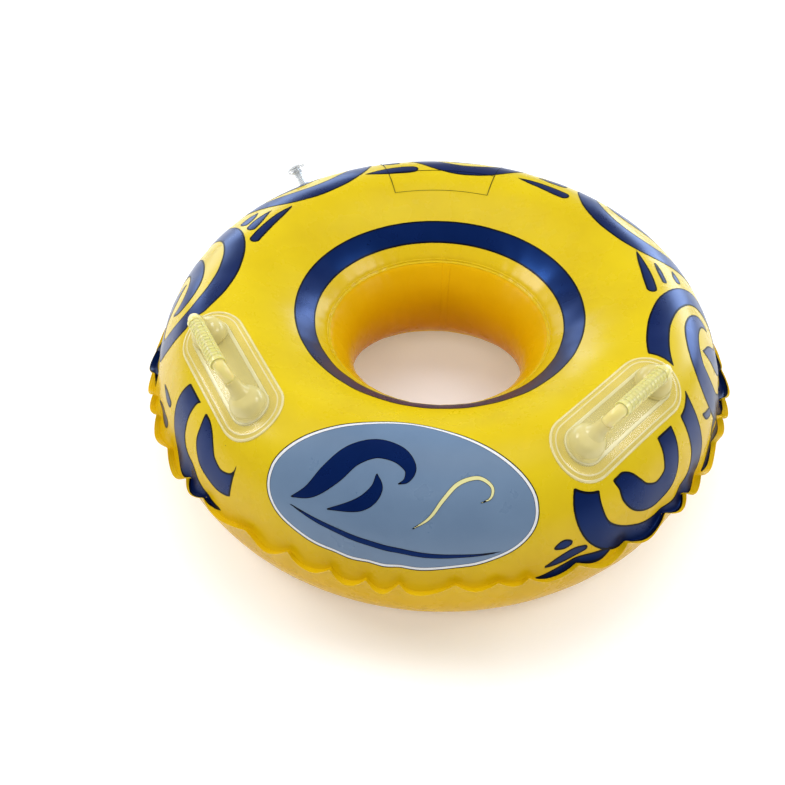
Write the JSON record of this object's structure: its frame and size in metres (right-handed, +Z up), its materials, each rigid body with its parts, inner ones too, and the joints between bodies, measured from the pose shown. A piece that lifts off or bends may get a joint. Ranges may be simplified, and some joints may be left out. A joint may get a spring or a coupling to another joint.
{
  "type": "inflatable ring tube",
  "caption": "Inflatable PVC ring tube for one rider, with two carry handles on welded patches, an outer welded flange and a push-in air valve with a hinged plug.",
  "frame": {"origin": "on the floor under the centre of the ring, in the middle of the bounding box's bottom", "axes": "+Z up, along the ring's axis; -Y is the front, with the oval badge; the handles are to the right (+X) and left (-X) of the front"},
  "size_m": [0.8779, 0.878, 0.3583],
  "materials": {
    "yellow_film": "glossy printed PVC film",
    "welded_film": "glossy heat-welded PVC film, slightly embossed",
    "handle_pvc": "translucent soft moulded PVC",
    "clear_pvc": "clear soft moulded PVC"
  },
  "bodies": {
    "tube_body": {"top_panel": "yellow_film", "bottom_panel": "yellow_film", "inner_wall_strip": "yellow_film", "outer_weld_seam": "welded_film", "upper_inner_weld_seam": "welded_film", "lower_inner_weld_seam": "welded_film", "wall_lap_seam": "welded_film", "right_handle_patch": "handle_pvc", "right_handle_base_plate": "handle_pvc", "right_front_socket": "handle_pvc", "right_rear_socket": "handle_pvc", "left_handle_patch": "handle_pvc", "left_handle_base_plate": "handle_pvc", "left_front_socket": "handle_pvc", "left_rear_socket": "handle_pvc", "valve_flange": "clear_pvc"},
    "right_grip": {"right_grip_bar": "handle_pvc", "right_grip_sleeve": "handle_pvc"},
    "left_grip": {"left_grip_bar": "handle_pvc", "left_grip_sleeve": "handle_pvc"},
    "valve_stem_body": {"valve_stem": "clear_pvc", "valve_strap": "clear_pvc"},
    "valve_plug_body": {"valve_plug": "clear_pvc"},
    "valve_flap_body": {"valve_check_flap": "clear_pvc"}
  },
  "joints": [
    {"name": "right_grip_rock", "type": "hinge", "parent": "tube_body", "child": "right_grip", "pos_m": [0.22453, -0.27202, 0.29831], "axis": [0.5673, 0.8231, 0.0259], "range_deg": [-10, 10]},
    {"name": "left_grip_rock", "type": "hinge", "parent": "tube_body", "child": "left_grip", "pos_m": [-0.22453, -0.27202, 0.29831], "axis": [0.5673, -0.8231, -0.0259], "range_deg": [-10, 10]},
    {"name": "valve_stem_push", "type": "slide", "parent": "tube_body", "child": "valve_stem_body", "axis": [-0.5466, 0.5965, 0.5878], "range_m": [-0.0215, 0]},
    {"name": "valve_plug_swing", "type": "hinge", "parent": "valve_stem_body", "child": "valve_plug_body", "pos_m": [-0.29133, 0.29839, 0.2696], "axis": [0.3971, -0.4334, 0.809], "range_deg": [0, 150]},
    {"name": "valve_flap_swing", "type": "hinge", "parent": "valve_stem_body", "child": "valve_flap_body", "pos_m": [-0.25275, 0.28545, 0.24374], "axis": [0.3971, -0.4334, 0.809], "range_deg": [0, 60], "stiffness_Nm_per_rad": 0.0002}
  ]
}
